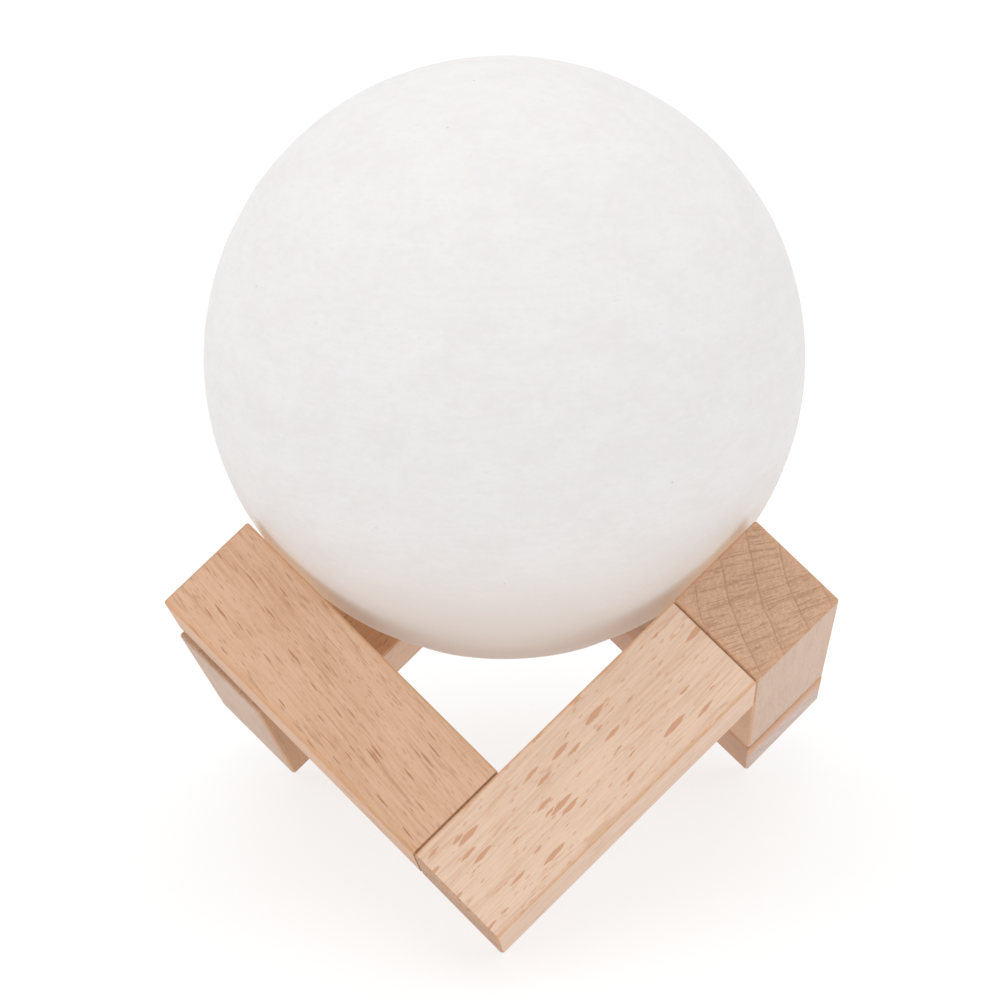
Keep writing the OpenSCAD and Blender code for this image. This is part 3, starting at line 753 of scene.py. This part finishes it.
# ---- Lights ----
# Square surface-mounted lights and the small charge light: yellow phosphor under clear resin.
phosphor = Finish("phosphor", roughness=0.25, coat_weight=0.6)
spot = phosphor.place()
powder = phosphor.noise(spot, 5.0, 3.0, 0.7)
phosphor.feed("Base Color", powder.step(0.3, 0.7).between((0.86, 0.66, 0.16), (0.92, 0.78, 0.32)))
phosphor.feed("Roughness", 0.2 + powder * 0.15)
phosphor.relief(powder, 0.00003, 0.5)
phosphor.on("lights", "charge_led")


# ---- Light pipe ----
# A turned rod of clear plastic that brings the charge light to the cover's face.
clear = Finish("clear_rod", roughness=0.08, ior=1.49, transmission_weight=0.85)
spot = clear.place()
swirl = clear.noise(spot, 1.2, 3.0)
clear.feed("Base Color", swirl.step(0.3, 0.7).between((0.88, 0.92, 0.94), (0.95, 0.97, 0.98)))
clear.feed("Roughness", 0.05 + swirl * 0.08)
clear.relief(swirl, 0.00002, 0.3)
clear.on("light_pipe")


# ---- Cell ----
# A flat lithium cell in a drawn foil pouch, with a strip of amber tape over its seam end.
foil = Finish("cell_foil", metallic=0.85, roughness=0.35)
cell_low, cell_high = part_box("cell")
spot = foil.place((cell_low + cell_high) / 2)
crease = foil.noise(spot.stretched((0.35, 0.8, 0.22)), 1.0, 4.0, 0.6)
creased = crease.step(0.3, 0.7).between((0.52, 0.54, 0.56), (0.66, 0.68, 0.70))
tape = spot.part("Z").step(-9.7, -9.9)
foil.feed("Base Color", tape.between(creased, (0.62, 0.34, 0.06)))
foil.feed("Metallic", 0.85 - tape * 0.8)
foil.feed("Roughness", 0.26 + crease * 0.2)
foil.relief(crease + tape * 0.3, 0.00012, 0.6)
foil.on("cell")


# ---- Foam pad ----
# Dark closed-cell foam under the cell, cut from sheet.
foam = Finish("foam", roughness=0.95)
spot = foam.place()
bubble = foam.cells(spot, 3.2)
hollow = bubble.step(0.1, 0.6)
foam.feed("Base Color", hollow.between((0.020, 0.020, 0.022), (0.060, 0.060, 0.063)))
foam.feed("Roughness", 0.85 + bubble * 0.1)
foam.relief(bubble, 0.00015, 0.9)
foam.on("foam_pad")


# ---- Leads ----
# Fine stranded wires in soft plastic, soldered at both ends: red ones from the cell to the main
# board, and yellow ones on to the light board.
def insulation(name, light, dark):
    """Soft extruded plastic: a faint colour drift along the wire and a drawn, silky surface."""
    finish = Finish(name, roughness=0.42)
    place = finish.place()
    drift = finish.noise(place.stretched((2.0, 2.0, 0.7)), 1.0, 3.0)
    finish.feed("Base Color", drift.step(0.3, 0.7).between(dark, light))
    finish.feed("Roughness", 0.34 + drift * 0.16)
    finish.relief(drift, 0.00002, 0.4)
    return finish


insulation("red_lead", light=(0.62, 0.035, 0.03), dark=(0.50, 0.02, 0.02)).on("cell_leads")
insulation("yellow_lead", light=(0.80, 0.55, 0.06), dark=(0.66, 0.42, 0.04)).on("light_leads")


# ---- Floor and light ----
# A white table under a white tent: even light from all round, a little more from above. The
# table's paper is lit from below as well, which keeps the lamp's shadow faint.
FLOOR_REACH = 3.0
floor_mesh = bpy.data.meshes.new("floor")
corners = np.array([(-1, -1, 0), (1, -1, 0), (1, 1, 0), (-1, 1, 0)]) * FLOOR_REACH
floor_mesh.from_pydata(corners.tolist(), [], [(0, 1, 2, 3)])
floor = bpy.data.objects.new("floor", floor_mesh)
bpy.context.scene.collection.objects.link(floor)
paper = Finish("white_paper", roughness=0.9, specular_ior_level=0.0,
               emission_color=(1.0, 1.0, 1.0, 1.0), emission_strength=0.74)
pulp = paper.noise(paper.place(), 0.02)
paper.feed("Base Color", pulp.between((0.28, 0.28, 0.28), (0.30, 0.30, 0.30)))

# The table can be looked through from below, so that a view from there shows the lamp's base.
paper.feed("Alpha", 1.0 - paper.node("NewGeometry", {}, output="Backfacing"))
floor_mesh.materials.append(paper.material)

tent = bpy.data.worlds.new("tent")
bpy.context.scene.world = tent
tent.use_nodes = True
cloth = tent.node_tree.nodes["Background"].inputs
cloth["Color"].default_value = (1.0, 0.995, 0.99, 1.0)
cloth["Strength"].default_value = 0.91

# One large square light hangs above, a little in front, and faces the middle of the moon lamp.
key = bpy.data.lights.new("key", "AREA")
key.energy, key.size = 2.4, 0.9
softbox = bpy.data.objects.new("key", key)
bpy.context.scene.collection.objects.link(softbox)
softbox.location = (-0.10, -0.25, 1.0)
towards_lamp = Vector((0, 0, 0.06)) - softbox.location
softbox.rotation_euler = towards_lamp.to_track_quat("-Z", "Y").to_euler()
